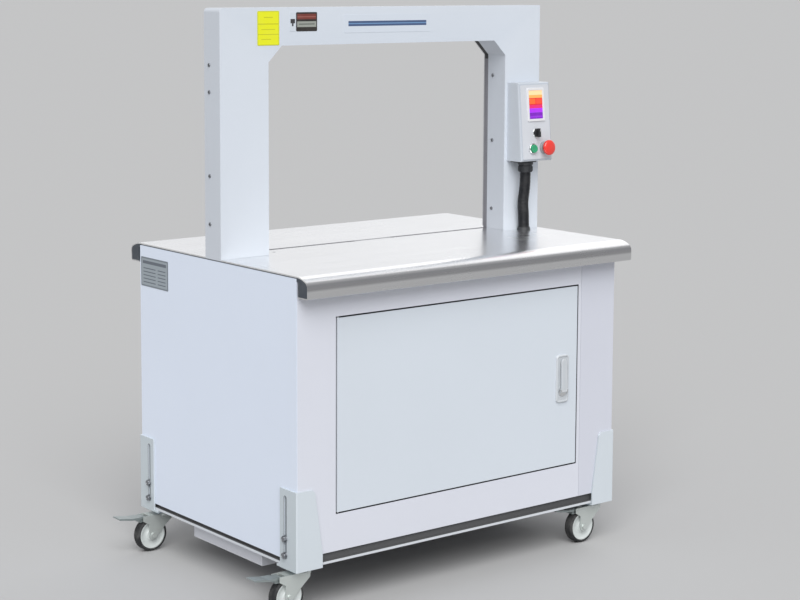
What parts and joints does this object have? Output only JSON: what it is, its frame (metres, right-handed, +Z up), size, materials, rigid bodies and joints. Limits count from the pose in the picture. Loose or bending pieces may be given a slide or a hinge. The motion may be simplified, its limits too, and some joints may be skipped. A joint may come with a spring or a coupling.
{
  "type": "semi automatic strapping machine",
  "caption": "Arch strapping machine on a braked wheeled cabinet, with a polished rolled-edge table, a strap arch, a tilted control box and a hinged front door.",
  "frame": {"origin": "on the floor, under the middle of the cabinet", "axes": "+X to the control box side, +Y to the rear, +Z up; the front door faces -Y"},
  "size_m": [1.235, 0.781, 1.415],
  "materials": {
    "powder_coat": "fine satin powder coat",
    "table_steel": "polished sheet",
    "frame_paint": "satin paint",
    "black_plastic": "fine grain",
    "gate_steel": "ground",
    "zinc_steel": "bright zinc",
    "label_plastic": "smooth film",
    "panel_film": "smooth film",
    "screen_glass": "glossy",
    "motor_iron": "painted casting",
    "stop_red": "glossy",
    "start_green": "glossy",
    "roller_rubber": "ground rubber",
    "reel_plastic": "wound strap",
    "leg_paint": "satin powder coat",
    "caster_grey": "moulded"
  },
  "bodies": {
    "machine": {"base_frame": "powder_coat", "bottom_tray": "powder_coat", "left_side_panel": "powder_coat", "right_side_panel": "powder_coat", "front_fascia": "powder_coat", "rear_panel": "powder_coat", "table_frame": "frame_paint", "front_table": "table_steel", "rear_table": "table_steel", "table_end_caps": "black_plastic", "arch_front_cover": "powder_coat", "arch_shell": "powder_coat", "strap_track": "black_plastic", "cover_screws": "zinc_steel", "leg_bolts": "zinc_steel", "name_plates": "label_plastic", "control_box": "powder_coat", "control_panel": "panel_film", "touch_screen": "screen_glass", "button_bezels": "zinc_steel", "conduit_fittings": "black_plastic", "control_conduit": "black_plastic", "sealing_head_frame": "table_steel", "drive_motors": "motor_iron", "electrical_box": "powder_coat", "strap_pool_box": "frame_paint", "reel_stand": "frame_paint", "door_hinges": "zinc_steel"},
    "door": {"front_door": "powder_coat", "lock_plate": "table_steel"},
    "lock_spindle": {"lock_spindle": "zinc_steel"},
    "lock_lever": {"lock_lever": "zinc_steel"},
    "e_stop": {"e_stop_button": "stop_red"},
    "start_button": {"start_button": "start_green"},
    "selector": {"selector_knob": "black_plastic"},
    "track_gate": {"track_gate": "gate_steel"},
    "cam_shaft": {"cam_shaft": "zinc_steel"},
    "seal_press": {"seal_press": "table_steel"},
    "strap_gripper": {"strap_gripper": "table_steel"},
    "heater_blade": {"heater_blade": "gate_steel"},
    "feed_roller": {"feed_roller": "roller_rubber"},
    "pinch_roller": {"pinch_roller": "roller_rubber"},
    "strap_reel": {"strap_reel": "reel_plastic"},
    "brake_arm": {"brake_arm": "frame_paint"},
    "leg_front_left": {"leg_front_left": "leg_paint"},
    "fork_front_left": {"fork_front_left": "zinc_steel"},
    "wheel_front_left": {"wheel_front_left": "caster_grey"},
    "pedal_front_left": {"pedal_front_left": "zinc_steel"},
    "leg_front_right": {"leg_front_right": "leg_paint"},
    "fork_front_right": {"fork_front_right": "zinc_steel"},
    "wheel_front_right": {"wheel_front_right": "caster_grey"},
    "pedal_front_right": {"pedal_front_right": "zinc_steel"},
    "leg_rear_left": {"leg_rear_left": "leg_paint"},
    "fork_rear_left": {"fork_rear_left": "zinc_steel"},
    "wheel_rear_left": {"wheel_rear_left": "caster_grey"},
    "pedal_rear_left": {"pedal_rear_left": "zinc_steel"},
    "leg_rear_right": {"leg_rear_right": "leg_paint"},
    "fork_rear_right": {"fork_rear_right": "zinc_steel"},
    "wheel_rear_right": {"wheel_rear_right": "caster_grey"},
    "pedal_rear_right": {"pedal_rear_right": "zinc_steel"}
  },
  "joints": [
    {"name": "door_swing", "type": "hinge", "parent": "machine", "child": "door", "pos_m": [-0.391, -0.3415, 0.4655], "axis": [0, 0, -1], "range_deg": [0, 110]},
    {"name": "lock_turn", "type": "hinge", "parent": "door", "child": "lock_spindle", "pos_m": [0.328, -0.3465, 0.43], "axis": [0, 1, 0], "range_deg": [0, 90]},
    {"name": "lever_lift", "type": "hinge", "parent": "lock_spindle", "child": "lock_lever", "pos_m": [0.328, -0.35575, 0.43], "axis": [1, 0, 0], "range_deg": [0, 50]},
    {"name": "e_stop_push", "type": "slide", "parent": "machine", "child": "e_stop", "axis": [0, 0.9968, -0.0803], "range_m": [0, 0.005]},
    {"name": "start_push", "type": "slide", "parent": "machine", "child": "start_button", "axis": [0, 0.9968, -0.0803], "range_m": [0, 0.003], "stiffness_N_per_m": 400},
    {"name": "mode_select", "type": "hinge", "parent": "machine", "child": "selector", "pos_m": [0.471, -0.08787, 1.07312], "axis": [0, 0.9968, -0.0803], "range_deg": [-45, 45]},
    {"name": "gate_open", "type": "slide", "parent": "machine", "child": "track_gate", "axis": [0, 1, 0], "range_m": [0, 0.008]},
    {"name": "cam_turn", "type": "hinge", "parent": "machine", "child": "cam_shaft", "pos_m": [0.017, 0.0425, 0.658], "axis": [1, 0, 0], "continuous": true},
    {"name": "press_lift", "type": "slide", "parent": "machine", "child": "seal_press", "axis": [0, 0, 1], "range_m": [0, 0.006]},
    {"name": "grip_lift", "type": "slide", "parent": "machine", "child": "strap_gripper", "axis": [0, 0, 1], "range_m": [0, 0.006]},
    {"name": "heater_feed", "type": "slide", "parent": "machine", "child": "heater_blade", "axis": [0, -1, 0], "range_m": [0, 0.024]},
    {"name": "feed_turn", "type": "hinge", "parent": "machine", "child": "feed_roller", "pos_m": [0.17, 0.0425, 0.7], "axis": [0, 1, 0], "continuous": true},
    {"name": "pinch_turn", "type": "hinge", "parent": "machine", "child": "pinch_roller", "pos_m": [0.17, 0.0425, 0.746], "axis": [0, 1, 0], "continuous": true},
    {"name": "reel_turn", "type": "hinge", "parent": "machine", "child": "strap_reel", "pos_m": [0.12, -0.19, 0.38], "axis": [0, 1, 0], "continuous": true},
    {"name": "brake_lift", "type": "hinge", "parent": "machine", "child": "brake_arm", "pos_m": [0.12, -0.071, 0.618], "axis": [0, -1, 0], "range_deg": [0, 25]},
    {"name": "leg_extend_front_left", "type": "slide", "parent": "machine", "child": "leg_front_left", "axis": [0, 0, -1], "range_m": [0, 0.09]},
    {"name": "swivel_front_left", "type": "hinge", "parent": "leg_front_left", "child": "fork_front_left", "pos_m": [-0.478, -0.3065, 0.1], "axis": [0, 0, 1], "continuous": true},
    {"name": "wheel_turn_front_left", "type": "hinge", "parent": "fork_front_left", "child": "wheel_front_left", "pos_m": [-0.516, -0.3065, 0.044], "axis": [0, 1, 0], "continuous": true},
    {"name": "pedal_press_front_left", "type": "hinge", "parent": "fork_front_left", "child": "pedal_front_left", "pos_m": [-0.538, -0.3065, 0.092], "axis": [0, -1, 0], "range_deg": [0, 12]},
    {"name": "leg_extend_front_right", "type": "slide", "parent": "machine", "child": "leg_front_right", "axis": [0, 0, -1], "range_m": [0, 0.09]},
    {"name": "swivel_front_right", "type": "hinge", "parent": "leg_front_right", "child": "fork_front_right", "pos_m": [0.478, -0.3065, 0.1], "axis": [0, 0, 1], "continuous": true},
    {"name": "wheel_turn_front_right", "type": "hinge", "parent": "fork_front_right", "child": "wheel_front_right", "pos_m": [0.44, -0.3065, 0.044], "axis": [0, 1, 0], "continuous": true},
    {"name": "pedal_press_front_right", "type": "hinge", "parent": "fork_front_right", "child": "pedal_front_right", "pos_m": [0.418, -0.3065, 0.092], "axis": [0, -1, 0], "range_deg": [0, 12]},
    {"name": "leg_extend_rear_left", "type": "slide", "parent": "machine", "child": "leg_rear_left", "axis": [0, 0, -1], "range_m": [0, 0.09]},
    {"name": "swivel_rear_left", "type": "hinge", "parent": "leg_rear_left", "child": "fork_rear_left", "pos_m": [-0.478, 0.3065, 0.1], "axis": [0, 0, 1], "continuous": true},
    {"name": "wheel_turn_rear_left", "type": "hinge", "parent": "fork_rear_left", "child": "wheel_rear_left", "pos_m": [-0.516, 0.3065, 0.044], "axis": [0, 1, 0], "continuous": true},
    {"name": "pedal_press_rear_left", "type": "hinge", "parent": "fork_rear_left", "child": "pedal_rear_left", "pos_m": [-0.538, 0.3065, 0.092], "axis": [0, -1, 0], "range_deg": [0, 12]},
    {"name": "leg_extend_rear_right", "type": "slide", "parent": "machine", "child": "leg_rear_right", "axis": [0, 0, -1], "range_m": [0, 0.09]},
    {"name": "swivel_rear_right", "type": "hinge", "parent": "leg_rear_right", "child": "fork_rear_right", "pos_m": [0.478, 0.3065, 0.1], "axis": [0, 0, 1], "continuous": true},
    {"name": "wheel_turn_rear_right", "type": "hinge", "parent": "fork_rear_right", "child": "wheel_rear_right", "pos_m": [0.516, 0.3065, 0.044], "axis": [0, 1, 0], "continuous": true},
    {"name": "pedal_press_rear_right", "type": "hinge", "parent": "fork_rear_right", "child": "pedal_rear_right", "pos_m": [0.538, 0.3065, 0.092], "axis": [0, 1, 0], "range_deg": [0, 12]}
  ],
  "couplings": [
    {"joint": "pinch_turn", "follows": "feed_turn", "ratio": -2}
  ]
}
